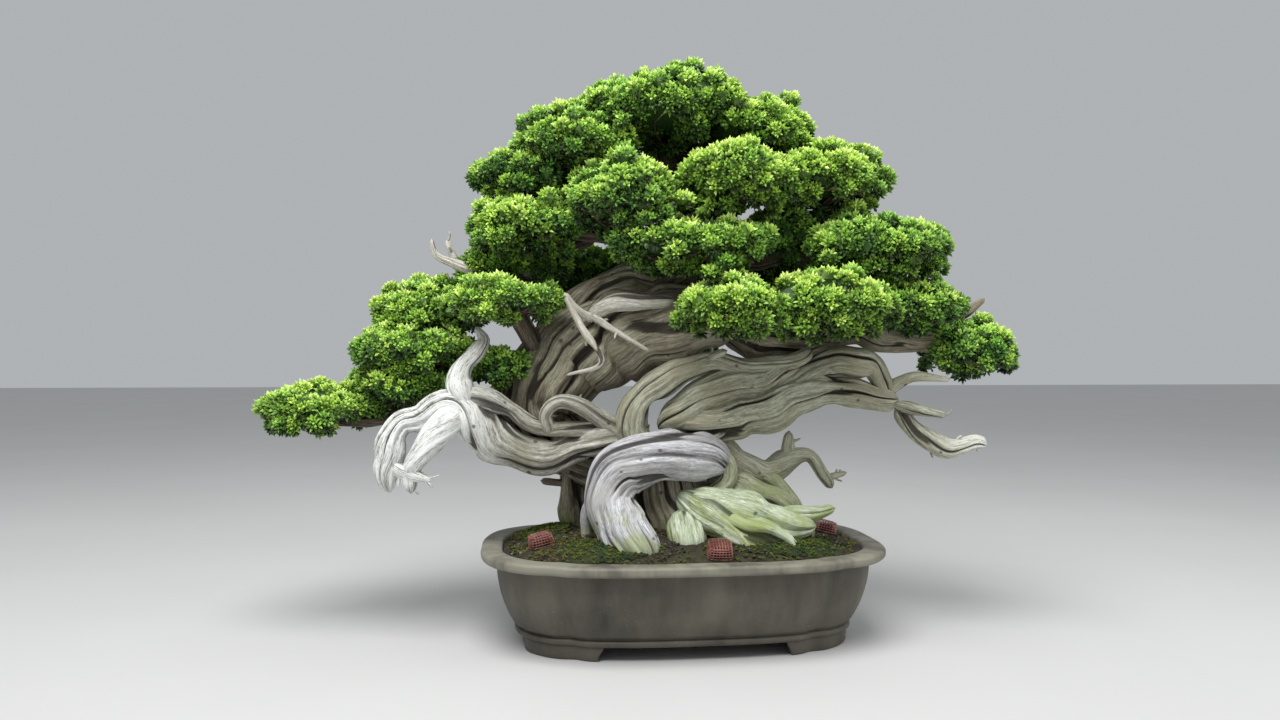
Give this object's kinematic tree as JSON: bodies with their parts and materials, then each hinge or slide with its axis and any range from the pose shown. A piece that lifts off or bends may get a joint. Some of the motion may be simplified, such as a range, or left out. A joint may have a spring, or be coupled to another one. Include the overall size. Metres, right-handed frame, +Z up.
{
  "type": "bonsai tree in a pot",
  "caption": "Old driftwood-style juniper bonsai with silvery deadwood limbs and green foliage pads, in an oval four-lobed unglazed clay pot.",
  "frame": {"origin": "under the middle of the whole object's box, on the surface that the pot's feet stand on; the pot's own middle is about 63 mm to +X and 31 mm to -Y of it", "axes": "+Z up, X along the pot's length, -Y the front of the display"},
  "size_m": [1.1222, 0.4666, 0.8428],
  "materials": {
    "clay": "unglazed, matt",
    "plastic_mesh": "matt",
    "soil": "damp granular",
    "moss": "soft",
    "basket": "satin grid",
    "feed": "crumbly",
    "bark": "fibrous, dry",
    "deadwood": "weathered, silvery",
    "foliage": "fine scale leaves"
  },
  "bodies": {
    "root": {"branch_crown": "bark", "branch_left_front": "bark", "branch_left_low": "bark", "branch_left_middle": "bark", "branch_left_upper": "bark", "branch_right_middle": "bark", "branch_right_upper": "bark", "deadwood_front_root": "deadwood", "deadwood_left_arm": "deadwood", "deadwood_raised_branch": "deadwood", "deadwood_right_arm": "deadwood", "drain_screen_left": "plastic_mesh", "drain_screen_right": "plastic_mesh", "feed_basket_front": "basket", "feed_basket_left": "basket", "feed_basket_right": "basket", "feed_cake_front": "feed", "feed_cake_left": "feed", "feed_cake_right": "feed", "foliage_back_left": "foliage", "foliage_back_low": "foliage", "foliage_back_right": "foliage", "foliage_centre_front": "foliage", "foliage_crown_left": "foliage", "foliage_crown_right": "foliage", "foliage_crown_top": "foliage", "foliage_far_right": "foliage", "foliage_left_front": "foliage", "foliage_left_low": "foliage", "foliage_left_middle": "foliage", "foliage_left_near": "foliage", "foliage_left_tip": "foliage", "foliage_left_upper": "foliage", "foliage_low_right": "foliage", "foliage_low_right_front": "foliage", "foliage_low_right_front_inner": "foliage", "foliage_middle_left": "foliage", "foliage_middle_left_back": "foliage", "foliage_middle_right": "foliage", "foliage_middle_right_back": "foliage", "foliage_middle_right_front": "foliage", "foliage_upper_back": "foliage", "foliage_upper_left": "foliage", "foliage_upper_right": "foliage", "foliage_upper_right_front": "foliage", "jin_trunk_front": "deadwood", "jin_upper_left": "deadwood", "leader": "bark", "live_trunk": "bark", "moss_back_left": "moss", "moss_back_right": "moss", "moss_front_left": "moss", "moss_front_right": "moss", "moss_left": "moss", "pot": "clay", "right_limb": "bark", "root_beak": "deadwood", "root_fold": "deadwood", "root_loops_right": "deadwood", "soil": "soil"}
  },
  "joints": []
}
